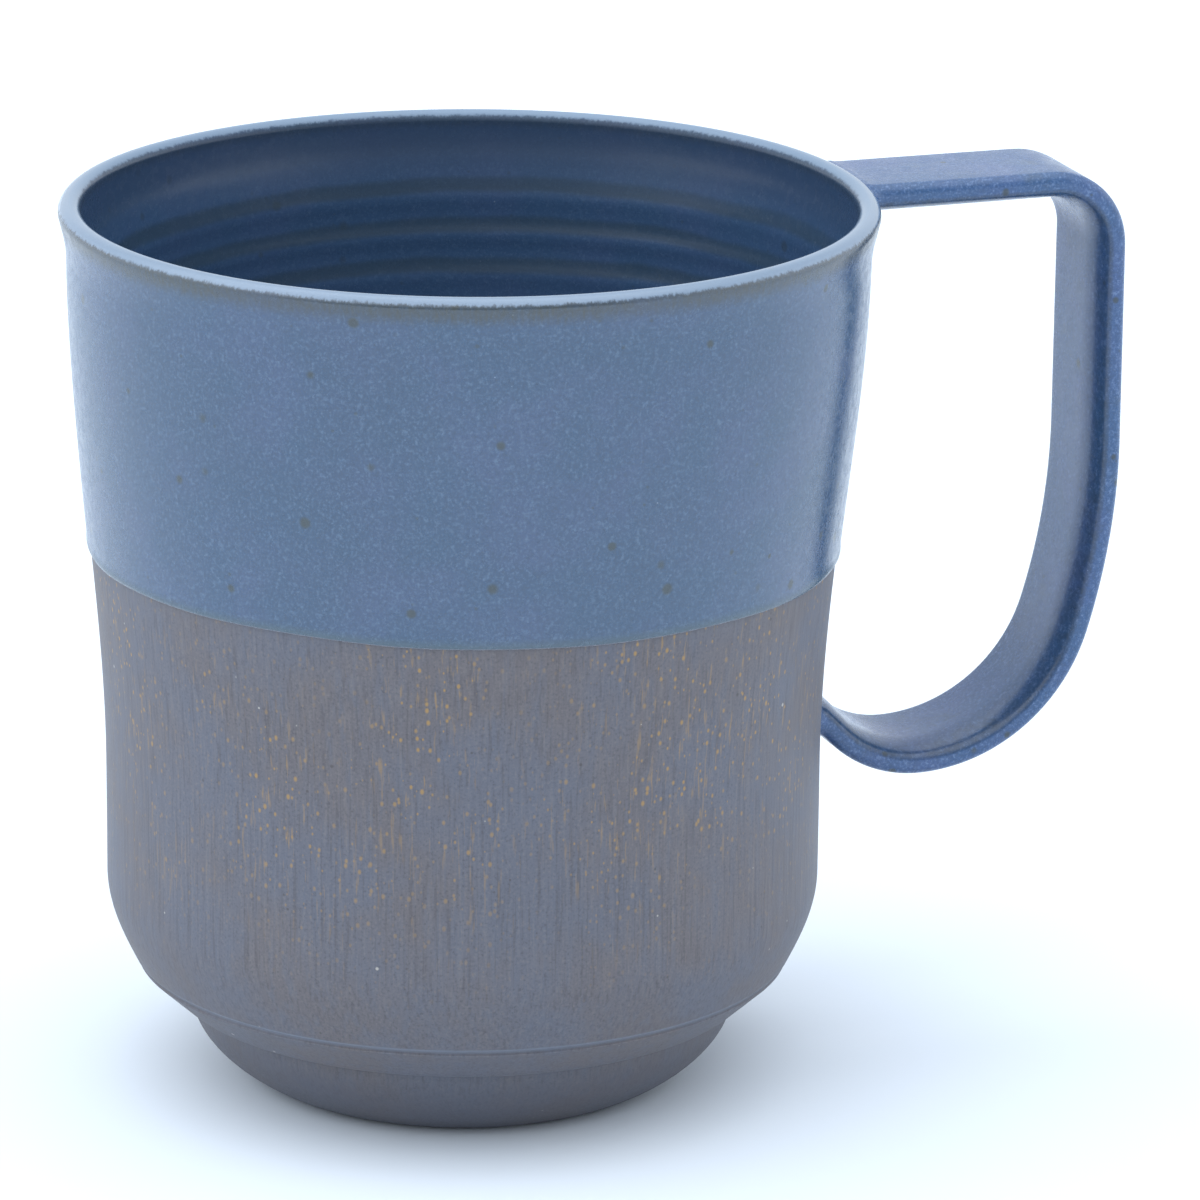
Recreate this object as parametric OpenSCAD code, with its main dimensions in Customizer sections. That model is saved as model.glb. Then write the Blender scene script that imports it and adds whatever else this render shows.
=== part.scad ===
// Wheel-thrown stoneware mug with a trimmed foot, a glazed upper half and a flat pulled strap handle.
// +Z is up, the foot ring rests on z = 0 and the handle points along +X. Millimetres.

/* [Body] */
// Height from the table to the top of the glazed lip
body_h = 100; // [80:1:130]
// Outside diameter of the glazed lip
rim_d = 90; // [74:1:112]
// Outside diameter of the straight lower wall
wall_d = 79.6; // [66:0.2:98]
// Thickness of the thrown clay wall
wall_t = 3; // [2.2:0.1:4.5]
// Thickness of the lip, with its glaze
lip_t = 2.5; // [1.8:0.1:4]
// Clay left between the inside floor and the trimmed underside
floor_t = 6.5; // [4:0.1:9]
// Radius between the inside floor and the wall
inner_corner_r = 14; // [8:0.5:18]

/* [Foot] */
// Diameter of the foot where it meets the body
foot_d = 61.2; // [50:0.2:75]
// Height of the foot
foot_h = 9.2; // [6:0.1:13]
// Outside diameter of the ring that touches the table
rest_d = 44.4; // [36:0.2:54]
// Width of the ring that touches the table
ring_t = 5.2; // [3.5:0.1:7]
// Depth of the trimmed hollow under the foot
recess_h = 3; // [1.5:0.1:4.5]
// Overhang of the body's lower edge past the foot
ledge = 1.6; // [0.6:0.1:3]
// Height of the trimmed bevel above the ledge
bevel_h = 4; // [2.5:0.1:6]
// Depth of the fine line cut above the bevel
groove_t = 0.35; // [0.2:0.05:0.8]
// How far the top of the bevel lies inside the straight wall
shoulder_in = 3.2; // [2:0.1:5]
// Height of the rounded shoulder above the fine line
shoulder_h = 9; // [6:0.5:14]

/* [Glaze] */
// Thickness of the fired glaze
glaze_t = 0.3; // [0.2:0.05:0.6]
// Height of the outside glaze line, as a share of the body's height
glaze_share = 0.61; // [0.5:0.01:0.75]

/* [Handle] */
// Width of the glazed strap
handle_w = 13.8; // [10:0.1:20]
// Thickness of the glazed strap
handle_t = 3.5; // [2.8:0.1:6]
// Radius along the strap's long edges
strap_edge_r = 1.2; // [0.8:0.1:1.6]
// Reach of the handle past the lip
handle_reach = 31.2; // [24:0.2:40]
// Height of the whole handle, as a share of the body's height
handle_share = 0.69; // [0.5:0.005:0.72]
// Drop from the lip to the top of the strap
handle_below_lip = 0.4; // [0.2:0.1:3]
// Inside radius of the tight upper bend
upper_bend_r = 5.5; // [0.8:0.1:8]
// Radius of the long side's slow bend
side_bend_r = 73.4; // [66:0.2:84]
// Radius of the lower bend
lower_bend_r = 19.6; // [16:0.1:21]
// Angle at which the long side leans in where the lower bend begins
lean = 17.3; // [10:0.1:25]
// Size of the slip smoothed into each joint
slip_r = 1.8; // [1:0.1:3]

/* [Hidden] */
$fn = 240;

clay_colour = [0.27, 0.26, 0.28];
slip_colour = [0.3, 0.28, 0.29];
glaze_colour = [0.33, 0.43, 0.58];
liner_colour = [0.24, 0.31, 0.46];

// Clay sizes at the lip, inside the glaze
rim_r = rim_d / 2 - glaze_t;
lip_half = lip_t / 2 - glaze_t;
lip_rise = 0.9;
lip_z = body_h - glaze_t - lip_rise;
lip_x = rim_r - lip_half;
crest = [lip_x, lip_z + lip_rise];
neck_in = 0.9;
neck_drop = 3.7;
neck = [rim_r - neck_in, lip_z - neck_drop];
lip_blend_h = 22;

// Heights of the outside, from the ledge up
wall_r = wall_d / 2;
foot_r = foot_d / 2;
rest_r = rest_d / 2;
ledge_rise = 0.4;
ledge_z = foot_h + ledge_rise;
bevel_top = [wall_r - shoulder_in, ledge_z + bevel_h];
groove_h = 0.8;
shoulder_z = bevel_top[1] + groove_h;
straight_z = shoulder_z + shoulder_h;
flare_start = 0.18;
flare_z = straight_z + (neck[1] - straight_z) * flare_start;
glaze_z = body_h * glaze_share;
foot_curve = 0.8;

// Inside of the pot
floor_z = recess_h + floor_t;
inner_r = wall_r - wall_t;
recess_slope = 1;

// Number of steps in each curve
foot_steps = 8;
shoulder_steps = 6;
side_steps = 9;
lip_steps = 5;
corner_steps = 8;
inner_steps = 14;
edge_steps = 3;
bend_steps = 7;
side_bend_steps = 5;
lower_bend_steps = 12;

// Centre line of the strap, from the lip round to the lower joint
handle_root_r = max(rim_d, wall_d) / 2;
side_x = handle_root_r + handle_reach - handle_t / 2;
top_z = body_h - handle_below_lip - handle_t / 2;
low_z = body_h - handle_below_lip - body_h * handle_share + handle_t / 2;
corner_r = upper_bend_r + handle_t / 2;
side_z = low_z + side_bend_r * sin(lean) + lower_bend_r * (1 - sin(lean));
lean_x = side_x - side_bend_r * (1 - cos(lean));
low_x = lean_x - lower_bend_r * cos(lean);
end_angle = 45;
end_bend_share = 1.05;
end_bend_r = (low_x - wall_r) * end_bend_share;
end_x = low_x - end_bend_r * sin(end_angle);
end_z = low_z + end_bend_r * (1 - cos(end_angle));
embed = 2;
tuck = strap_edge_r / 3;
end_length = (end_x - wall_r + embed) / cos(end_angle);
lower_joint_z = end_z + (end_x - wall_r) * tan(end_angle);
strap_start_x = neck[0] - embed;
lower_slip_rise = slip_r / 2;

function smooth(t) = t * t * (3 - 2 * t);
function unit(v) = v / norm(v);
function left_of(v) = [-v[1], v[0]];
function reversed(p) = [for (i = [len(p) - 1:-1:0]) p[i]];
function along(p, i) = unit(p[min(i + 1, len(p) - 1)] - p[max(i - 1, 0)]);
function shifted(p, d) = [for (i = [0:len(p) - 1]) p[i] + d * left_of(along(p, i))];

// Radius of the outside clay wall at a height on the flare
function flare_share(z) = max(0, min(1, (z - flare_z) / (neck[1] - flare_z)));
function outside_r(z) = wall_r + (neck[0] - wall_r) * smooth(flare_share(z));

// Clay thickness, which thins towards the lip
function lip_share(z) = min(1, (lip_z - z) / lip_blend_h);
function clay_t(z) = 2 * lip_half + (wall_t - 2 * lip_half) * lip_share(z);
function neck_share(z) = max(0, (z - neck[1]) / neck_drop);
function inside_r(z) = outside_r(z) + neck_in * neck_share(z) - clay_t(z);

foot_side = [for (i = [0:foot_steps]) let (t = i / foot_steps)
    [rest_r + (foot_r - rest_r) * sin(90 * pow(t, foot_curve)), foot_h * t]];

trimmed_edge = [
    [foot_r + ledge, ledge_z],
    bevel_top,
    [bevel_top[0] - groove_t, bevel_top[1] + groove_h / 2]
];

shoulder = [for (i = [0:shoulder_steps]) let (t = i / shoulder_steps)
    [wall_r - (shoulder_in - groove_t) * (1 - sin(90 * t)), shoulder_z + shoulder_h * t]];

bare_side = [for (i = [0:side_steps]) let (z = flare_z + (glaze_z - flare_z) * i / side_steps)
    [outside_r(z), z]];

glazed_side = [for (i = [0:side_steps]) let (z = glaze_z + (neck[1] - glaze_z) * i / side_steps)
    [outside_r(z), z]];

lip_outside = [for (i = [0:lip_steps - 1]) let (a = 90 * i / lip_steps)
    [lip_x + lip_half * cos(a), lip_z + lip_rise * sin(a)]];

lip_inside = [for (i = [0:lip_steps - 1]) let (a = 180 - 90 * i / lip_steps)
    [lip_x + lip_half * cos(a), lip_z + lip_rise * sin(a)]];

floor_corner = [for (i = [0:corner_steps]) let (a = -90 + 90 * i / corner_steps)
    [inner_r - inner_corner_r * (1 - cos(a)), floor_z + inner_corner_r * (1 + sin(a))]];

inner_side = [for (i = [1:inner_steps])
    let (z = floor_z + inner_corner_r + (lip_z - floor_z - inner_corner_r) * i / (inner_steps + 1))
    [inside_r(z), z]];

outside_line = concat(foot_side, trimmed_edge, shoulder, bare_side, [for (i = [1:side_steps]) glazed_side[i]],
                      lip_outside, [crest]);
inside_line = concat([[0, floor_z]], floor_corner, inner_side, lip_inside, [crest]);

// The glaze lies on the inside, over the lip and down the outside to the glaze line
glazed_line = concat(inside_line, reversed(lip_outside), reversed(glazed_side));
glaze_surface = shifted(glazed_line, glaze_t);
crest_i = len(inside_line) - 1;
last_i = len(glazed_line) - 1;

module clay_body() {
    color(clay_colour)
        rotate_extrude()
            polygon(concat([[0, recess_h], [rest_r - ring_t - recess_slope, recess_h], [rest_r - ring_t, 0]],
                           outside_line, reversed(inside_line)));
}

module liner_glaze() {
    color(liner_colour)
        rotate_extrude()
            polygon(concat([for (i = [0:crest_i]) glazed_line[i]],
                           [for (i = [crest_i:-1:0]) glaze_surface[i]]));
}

module outer_glaze() {
    color(glaze_colour)
        difference() {
            rotate_extrude()
                polygon(concat([for (i = [crest_i:last_i]) glazed_line[i]],
                               [for (i = [last_i:-1:crest_i]) glaze_surface[i]]));
            strap(0);
            upper_collar(0);
        }
}

// The pot's outside as a solid block, bare or with its glaze
module pot_block() {
    rotate_extrude()
        polygon(concat([[0, 0]], outside_line, [[0, crest[1]]]));
}

module glazed_pot_block() {
    rotate_extrude()
        polygon(concat([[0, glaze_z]], [for (i = [last_i:-1:crest_i]) glaze_surface[i]],
                       [[0, glaze_surface[crest_i][1]]]));
    pot_block();
}

// Rounded section of the clay strap, grown by the glaze: thickness first, then width
function strap_ring(grow) =
    let (r = strap_edge_r - glaze_t + grow,
         t = handle_t / 2 - glaze_t + grow - r,
         w = handle_w / 2 - glaze_t + grow - r)
    [for (corner = [[1, 1, 0], [-1, 1, 90], [-1, -1, 180], [1, -1, 270]], i = [0:edge_steps])
        let (a = corner[2] + 90 * i / edge_steps)
        [corner[0] * t + r * cos(a), corner[1] * w + r * sin(a)]];

// Places along the strap: X, Z and the angle its outer face looks at
function bend_places(centre, r, from, to, steps) = [for (i = [0:steps])
    let (a = from + (to - from) * i / steps)
    [centre[0] + r * cos(a), centre[1] + r * sin(a), a]];

function rest_of(p) = [for (i = [1:len(p) - 1]) p[i]];

strap_places = concat(
    [[strap_start_x, top_z, 90]],
    bend_places([side_x - corner_r, top_z - corner_r], corner_r, 90, 0, bend_steps),
    bend_places([side_x - side_bend_r, side_z], side_bend_r, 0, -lean, side_bend_steps),
    rest_of(bend_places([low_x, low_z + lower_bend_r], lower_bend_r, -lean, -90, lower_bend_steps)),
    rest_of(bend_places([low_x, low_z + end_bend_r], end_bend_r, -90, -90 - end_angle, bend_steps)),
    [[end_x - end_length * cos(end_angle), end_z + end_length * sin(end_angle), -90 - end_angle]]
);

module strap(grow) {
    ring = strap_ring(grow);
    n = len(ring);
    last = len(strap_places) - 1;
    polyhedron(
        points = [for (p = strap_places, q = ring) [p[0] + q[0] * cos(p[2]), q[1], p[1] + q[0] * sin(p[2])]],
        faces = concat(
            [for (i = [0:last - 1], j = [0:n - 1])
                let (k = (j + 1) % n)
                [i * n + j, i * n + k, (i + 1) * n + k, (i + 1) * n + j]],
            [[for (j = [n - 1:-1:0]) j]],
            [[for (j = [0:n - 1]) last * n + j]]
        )
    );
}

// Slip round the strap's end: a side outline and a plan outline, each tapering from the wall to the strap
module collar(wall_x, joint_z, slope, rise, grow) {
    w = handle_w - 2 * (glaze_t + tuck - grow);
    half = (handle_t / 2 - glaze_t - tuck + grow) / cos(slope);
    x = wall_x + grow;
    flank_x = sqrt(wall_x * wall_x - pow(w / 2 + slip_r, 2)) + grow;
    reach = slip_r / tan((90 - slope) / 2);
    tip_x = x + reach * cos(slope);
    tip_z = joint_z - reach * sin(slope);
    foot_of_slip = [x - embed, joint_z - half - reach];
    head_of_slip = rise > 0
        ? [[x + rise * cos(slope), joint_z + half - rise * sin(slope)], [x, joint_z + half + rise],
           [x - embed, joint_z + half + rise]]
        : [[x - embed, joint_z + half]];
    intersection() {
        rotate([90, 0, 0])
            linear_extrude(w + 2 * (slip_r + embed), center = true)
                polygon(concat([foot_of_slip, foot_of_slip + [embed, 0], [tip_x, tip_z - half],
                                [tip_x, tip_z + half]], head_of_slip));
        linear_extrude(body_h)
            polygon([
                [flank_x - embed, -w / 2 - slip_r],
                [flank_x, -w / 2 - slip_r],
                [flank_x + slip_r, -w / 2],
                [tip_x + embed, -w / 2],
                [tip_x + embed, w / 2],
                [flank_x + slip_r, w / 2],
                [flank_x, w / 2 + slip_r],
                [flank_x - embed, w / 2 + slip_r]
            ]);
    }
}

module upper_collar(grow) {
    collar(outside_r(top_z), top_z, 0, 0, grow);
}

module lower_collar(grow) {
    collar(wall_r, lower_joint_z, end_angle, lower_slip_rise, grow);
}

module handle_strap() {
    color(clay_colour)
        difference() {
            strap(0);
            pot_block();
        }
}

module upper_joint_slip() {
    color(slip_colour)
        difference() {
            upper_collar(0);
            strap(0);
            pot_block();
        }
}

module lower_joint_slip() {
    color(slip_colour)
        difference() {
            lower_collar(0);
            strap(0);
            pot_block();
        }
}

module handle_glaze() {
    color(glaze_colour)
        difference() {
            union() {
                strap(glaze_t);
                upper_collar(glaze_t);
                lower_collar(glaze_t);
            }
            strap(0);
            upper_collar(0);
            lower_collar(0);
            glazed_pot_block();
        }
}

clay_body();
handle_strap();
upper_joint_slip();
lower_joint_slip();
liner_glaze();
outer_glaze();
handle_glaze();
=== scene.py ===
import math

import bpy
import numpy as np
from mathutils import Matrix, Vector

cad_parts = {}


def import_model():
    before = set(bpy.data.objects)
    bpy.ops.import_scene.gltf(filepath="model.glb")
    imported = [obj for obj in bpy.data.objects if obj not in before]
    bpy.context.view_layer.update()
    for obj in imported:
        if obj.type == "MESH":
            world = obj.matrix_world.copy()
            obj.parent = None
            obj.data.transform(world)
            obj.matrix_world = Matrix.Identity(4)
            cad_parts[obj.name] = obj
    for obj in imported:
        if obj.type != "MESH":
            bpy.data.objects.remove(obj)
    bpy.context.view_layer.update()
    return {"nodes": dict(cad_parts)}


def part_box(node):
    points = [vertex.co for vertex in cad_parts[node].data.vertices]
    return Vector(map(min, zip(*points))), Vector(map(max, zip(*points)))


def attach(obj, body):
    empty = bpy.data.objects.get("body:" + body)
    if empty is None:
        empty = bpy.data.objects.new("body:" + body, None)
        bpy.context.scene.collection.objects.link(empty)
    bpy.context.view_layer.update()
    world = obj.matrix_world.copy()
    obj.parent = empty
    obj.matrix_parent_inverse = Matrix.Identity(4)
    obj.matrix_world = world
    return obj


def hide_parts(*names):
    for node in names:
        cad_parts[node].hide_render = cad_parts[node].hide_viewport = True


# Lengths in this script are millimetres in the CAD frame, and MM turns them into metres.
MM = 0.001

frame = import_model()


# ---------------------------------------------------------------- sizes read from the frame

def node_points(node):
    """A CAD node's vertices in millimetres."""
    mesh = frame["nodes"][node].data
    co = np.zeros(len(mesh.vertices) * 3)
    mesh.vertices.foreach_get("co", co)
    return co.reshape(-1, 3) / MM


def ring_radius(node, z, reach=0.12):
    """Largest distance from the pot's axis of a node's vertices at a height."""
    p = node_points(node)
    near = p[np.abs(p[:, 2] - z) < reach]
    return float(np.hypot(near[:, 0], near[:, 1]).max())


def extent(node, axis, high):
    """One side of a node's box: axis 0, 1 or 2, at its high or low end."""
    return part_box(node)[1 if high else 0][axis] / MM


# The pot. Heights and thicknesses that the frame does not give repeat the CAD's, to a tenth of a millimetre.
BODY_H = extent("liner_glaze", 2, True)
GLAZE_Z = extent("outer_glaze", 2, False)
FLOOR_Z = extent("liner_glaze", 2, False)
GLAZE_T = 0.3
WALL_T = 3.0
RING_T = 5.2
RECESS_H = 3.0
CORNER_R = 14.0
FOOT_H = 9.2
LEDGE_Z = 9.6
BEVEL_Z = 13.6
GROOVE_Z = 14.0
SHOULDER_Z = 14.4
STRAIGHT_Z = 23.4
FLARE_Z = 36.3
REST_R = ring_radius("clay_body", 0)
FOOT_R = ring_radius("clay_body", FOOT_H)
LEDGE_R = ring_radius("clay_body", LEDGE_Z)
BEVEL_R = ring_radius("clay_body", BEVEL_Z)
GROOVE_R = ring_radius("clay_body", GROOVE_Z)
SHOULDER_R = ring_radius("clay_body", SHOULDER_Z)
WALL_R = ring_radius("clay_body", STRAIGHT_Z)

# The lip, and the neck where the wall starts to turn out into it
LIP_HALF = 0.95
LIP_RISE = 0.9
NECK_IN = 0.9
NECK_DROP = 3.7
LIP_Z = BODY_H - GLAZE_T - LIP_RISE
NECK_Z = LIP_Z - NECK_DROP
RIM_R = ring_radius("clay_body", LIP_Z)
NECK_R = RIM_R - NECK_IN
LIP_X = RIM_R - LIP_HALF
# Where the outside starts to bend into the neck
BEND_Z = NECK_Z - 2
# The height over which the wall thins towards the lip
LIP_BLEND = 22.0
# The height over which the inside turns out to the lip. It is more than in the CAD.
INNER_FLARE_H = 9.0
# The foot's side curve and the slope at the rim of the hollow under it
FOOT_CURVE = 0.8
RECESS_SLOPE = 1.0
# How far from each corner its rounding starts: under the foot, on the trimmed steps, and at the neck
UNDER_CUTS = (0.8, 0.4, 0.3)
TRIM_CUTS = (0.28, 0.55, 0.22, 0.2)
NECK_CUT = 1.6
# Steps of the curved stretches
FOOT_STEPS = 32
SHOULDER_STEPS = 24
CORNER_STEPS = 40
FLOOR_STEPS = 24

# The strap, its rounded edges, and the one inner edge that is softer: its depth and width
HANDLE_T = 3.5
HANDLE_W = extent("handle_strap", 1, True) - extent("handle_strap", 1, False) + 2 * GLAZE_T
HANDLE_EDGE = 1.2
SOFT_EDGE = (1.75, 4.6)
SIDE_X = extent("handle_glaze", 0, True) - HANDLE_T / 2
TOP_Z = extent("handle_glaze", 2, True) - HANDLE_T / 2
LOW_Z = extent("handle_glaze", 2, False) + HANDLE_T / 2
UPPER_BEND_INSIDE = 5.5
UPPER_BEND = UPPER_BEND_INSIDE + HANDLE_T / 2
SIDE_BEND = 73.4
LOWER_BEND = 19.6
LEAN = math.radians(17.3)
END_ANGLE = math.radians(45)
END_SHARE = 1.05
# Where the strap starts outside the neck's radius, and how deep its lower end lies in the wall
START_OUT = 0.35
END_DEPTH = 1.6
# The fillet of slip and glaze round both ends, and how much of it is left off the faces that look up
FILLET_R = 1.8
UPPER_FILLET_CUT = 0.92
LOWER_FILLET_CUT = 0.78


# ---------------------------------------------------------------- outlines

def smooth(t):
    t = np.clip(t, 0, 1)
    return t * t * (3 - 2 * t)


def eased(value, low, high):
    """Rises smoothly from 0 at low to 1 at high."""
    return smooth((value - low) / (high - low))


def outside_r(z):
    return WALL_R + (NECK_R - WALL_R) * eased(z, FLARE_Z, NECK_Z)


def inside_r(z):
    clay = 2 * LIP_HALF + (WALL_T - 2 * LIP_HALF) * np.minimum(1, (LIP_Z - z) / LIP_BLEND)
    return outside_r(z) + NECK_IN * eased(z, LIP_Z - INNER_FLARE_H, LIP_Z) - clay


def softened(points, cuts, steps=6):
    """A polyline with rounded corners, each by a curve that starts and ends a cut's length from it."""
    out = [np.array(points[0], float)]
    for before, here, after, cut in zip(points, points[1:], points[2:], cuts):
        before, here, after = (np.array(p, float) for p in (before, here, after))
        a = here + (before - here) / np.linalg.norm(before - here) * cut
        b = here + (after - here) / np.linalg.norm(after - here) * cut
        for t in np.linspace(0, 1, steps + 1):
            out.append(a * (1 - t) ** 2 + 2 * here * t * (1 - t) + b * t * t)
    out.append(np.array(points[-1], float))
    return np.array(out)


def spaced(line, spacing):
    """The same line with no step longer than spacing."""
    out = [line[0]]
    for a, b in zip(line, line[1:]):
        n = max(1, int(math.ceil(np.linalg.norm(b - a) / spacing)))
        out += [a + (b - a) * (i + 1) / n for i in range(n)]
    return np.array(out)


def ellipse(cx, cz, rx, rz, start, end, steps):
    a = np.radians(np.linspace(start, end, steps + 1))
    return np.stack([cx + rx * np.cos(a), cz + rz * np.sin(a)], 1)


def shifted(line, distance):
    """The line moved sideways, to its left."""
    d = np.gradient(line, axis=0)
    d /= np.linalg.norm(d, axis=1)[:, None]
    return line + np.stack([-d[:, 1], d[:, 0]], 1) * np.reshape(distance, (-1, 1))


def foot_side():
    t = np.linspace(0, 1, FOOT_STEPS + 1)[1:-1]
    return np.stack([REST_R + (FOOT_R - REST_R) * np.sin(np.pi / 2 * t ** FOOT_CURVE), FOOT_H * t], 1)


def foot_line():
    """Underside and foot: centre of the hollow, ring, side, ledge, bevel and groove, up to the shoulder."""
    side = foot_side()
    hollow = [(0, RECESS_H), (REST_R - RING_T - RECESS_SLOPE, RECESS_H), (REST_R - RING_T, 0)]
    under = softened(hollow + [(REST_R, 0), side[0]], UNDER_CUTS)
    trimmed = [side[-1], (FOOT_R, FOOT_H), (LEDGE_R, LEDGE_Z), (BEVEL_R, BEVEL_Z), (GROOVE_R, GROOVE_Z),
               (SHOULDER_R, SHOULDER_Z)]
    above = softened(trimmed, TRIM_CUTS)
    return np.concatenate([spaced(under, 1.5), side[1:-1], spaced(above, 0.5)])


def side_line(low, high, spacing):
    z = np.linspace(low, high, int((high - low) / spacing) + 1)
    return np.stack([outside_r(z), z], 1)


def shoulder_line():
    t = np.linspace(0, 1, SHOULDER_STEPS + 1)[1:]
    return np.stack([WALL_R - (WALL_R - SHOULDER_R) * (1 - np.sin(np.pi / 2 * t)),
                     SHOULDER_Z + (STRAIGHT_Z - SHOULDER_Z) * t], 1)


def neck_line(steps):
    """From just under the neck over the everted lip to its crest."""
    start = (outside_r(BEND_Z), BEND_Z)
    bend = softened([start, (NECK_R, NECK_Z), (RIM_R, LIP_Z)], [NECK_CUT])
    lip = ellipse(LIP_X, LIP_Z, LIP_HALF, LIP_RISE, 0, 90, steps)
    return np.concatenate([spaced(bend, 0.4), lip[1:]])


def inner_line(steps, spacing):
    """From the crest of the lip down the inside to the centre of the floor."""
    lip = ellipse(LIP_X, LIP_Z, LIP_HALF, LIP_RISE, 90, 180, steps)
    low = FLOOR_Z + CORNER_R
    z = np.linspace(LIP_Z, low, int((LIP_Z - low) / spacing) + 1)[1:]
    wall = np.stack([inside_r(z), z], 1)
    flat_r = WALL_R - WALL_T - CORNER_R
    corner = ellipse(flat_r, low, CORNER_R, CORNER_R, 0, -90, CORNER_STEPS)
    r = np.linspace(flat_r, 0, FLOOR_STEPS + 1)[1:]
    bottom = np.stack([r, np.full(len(r), FLOOR_Z)], 1)
    return np.concatenate([lip, wall, corner[1:], bottom])


# ---------------------------------------------------------------- what the potter's hands leave

RING_PITCH = 4.6
RING_DEPTH = 0.13
RIM_PULL = 0.5
PULL_Z = 58.0
WOBBLE = 0.05
RIM_DIP = 0.09
# The rings fade where the wall was smoothed towards the lip
RING_FADE = (86, 93)
RING_END = (95, 98)


def throwing_rings(angle, z):
    """Spiral finger marks inside the pot, deeper in some places than in others."""
    turn = 2 * np.pi * z / RING_PITCH + angle
    uneven = 0.75 + 0.25 * np.sin(z / 7.3 + 1.1) + 0.12 * np.sin(2 * angle + z / 11)
    mark = np.sin(turn + 0.5 * np.sin(z / 5.1 + 0.6)) + 0.25 * np.sin(2 * turn + 0.8)
    return RING_DEPTH * uneven * mark


def rim_pull(z):
    """How far the pot leans towards the handle at a height."""
    return RIM_PULL * eased(z, PULL_Z, LIP_Z)


def hand_made(points, inside):
    """Moves the pot's points as its making did: rim drawn to the handle and uneven, faint wobble, rings."""
    x, y, z = points.T
    angle = np.arctan2(y, x)
    radius = np.hypot(x, y)
    wobble = WOBBLE * (np.sin(3 * angle + z / 9) + 0.7 * np.sin(5 * angle - z / 13 + 1))
    wobble *= eased(z, 16, 36) * (1 - eased(z, 88, 98))
    span = eased(z, FLOOR_Z + 1, FLOOR_Z + 11) * (1 - 0.85 * eased(z, *RING_FADE)) * (1 - eased(z, *RING_END))
    moved = wobble + inside * span * throwing_rings(angle, z)
    grown = radius + moved * np.minimum(1, radius / 10)
    dip = RIM_DIP - 0.05 * np.sin(2 * angle + 0.7) - 0.04 * np.sin(3 * angle)
    low_rim = eased(z, 84, 98) * dip
    return np.stack([grown * np.cos(angle) + rim_pull(z), grown * np.sin(angle), z - low_rim], 1)


# ---------------------------------------------------------------- meshes

def make_object(name, verts, faces, sharp_edges=(), values=None):
    """A smooth-shaded mesh object. Vertices are in millimetres, and values are kept on the vertices."""
    mesh = bpy.data.meshes.new(name)
    mesh.from_pydata((np.asarray(verts) * MM).tolist(), [], faces)
    mesh.validate()
    mesh.polygons.foreach_set("use_smooth", [True] * len(mesh.polygons))
    if len(sharp_edges):
        wanted = {tuple(sorted(e)) for e in sharp_edges}
        pairs = np.zeros(len(mesh.edges) * 2, int)
        mesh.edges.foreach_get("vertices", pairs)
        flags = [tuple(sorted(e)) in wanted for e in pairs.reshape(-1, 2).tolist()]
        mesh.attributes.new("sharp_edge", "BOOLEAN", "EDGE").data.foreach_set("value", flags)
    for key, data in (values or {}).items():
        mesh.attributes.new(key, "FLOAT", "POINT").data.foreach_set("value", np.asarray(data, np.float32))
    mesh.update()
    obj = bpy.data.objects.new(name, mesh)
    bpy.context.scene.collection.objects.link(obj)
    return obj


def turned(name, line, inside, segments, closed=False, sharp=(), values=None, reshape=None):
    """A solid of revolution of a line of (radius, height). An open line starts and ends on the axis."""
    line = np.asarray(line, float)
    inside = np.asarray(inside, float)
    values = values or {}
    middle = slice(0, len(line)) if closed else slice(1, len(line) - 1)
    a = np.arange(segments) * 2 * np.pi / segments
    r, z = line[middle].T
    x, y = r[:, None] * np.cos(a), r[:, None] * np.sin(a)
    ring_points = np.stack([x, y, z[:, None] + 0 * a], -1).reshape(-1, 3)
    weight = np.repeat(inside[middle], segments)
    if reshape is not None:
        ring_points = reshape(ring_points, np.repeat(np.arange(len(line))[middle], segments))
    verts = hand_made(ring_points, weight)
    rows = len(r)
    faces = []
    for i in range(rows if closed else rows - 1):
        k = (i + 1) % rows
        for j in range(segments):
            n = (j + 1) % segments
            faces.append((i * segments + j, i * segments + n, k * segments + n, k * segments + j))
    per_vertex = {key: np.repeat(np.asarray(v, float)[middle], segments) for key, v in values.items()}
    if not closed:
        poles = np.array([[0, 0, line[0][1]], [0, 0, line[-1][1]]])
        verts = np.concatenate([verts, poles])
        first, last = rows * segments, rows * segments + 1
        for j in range(segments):
            n = (j + 1) % segments
            faces.append((first, n, j))
            faces.append((last, (rows - 1) * segments + j, (rows - 1) * segments + n))
        for key, v in values.items():
            per_vertex[key] = np.append(per_vertex[key], [v[0], v[-1]])
    edges = [(i * segments + j, i * segments + (j + 1) % segments) for i in sharp for j in range(segments)]
    return make_object(name, verts, faces, edges, per_vertex)


SEGMENTS = 360
# The hidden back of a coat takes one point in this many
BACK_STEP = 6


def clay_pot():
    side = side_line(STRAIGHT_Z, BEND_Z, 0.9)
    outside = np.concatenate([foot_line(), shoulder_line(), side[1:], neck_line(6)[1:]])
    within = inner_line(6, 1.2)
    line = np.concatenate([outside, within[1:]])
    inside = np.concatenate([np.zeros(len(outside)), np.ones(len(within) - 1)])
    return turned("clay_pot", line, inside, SEGMENTS)


def arc_length(line):
    return np.concatenate([[0], np.cumsum(np.linalg.norm(np.diff(line, axis=0), axis=1))])


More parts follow.
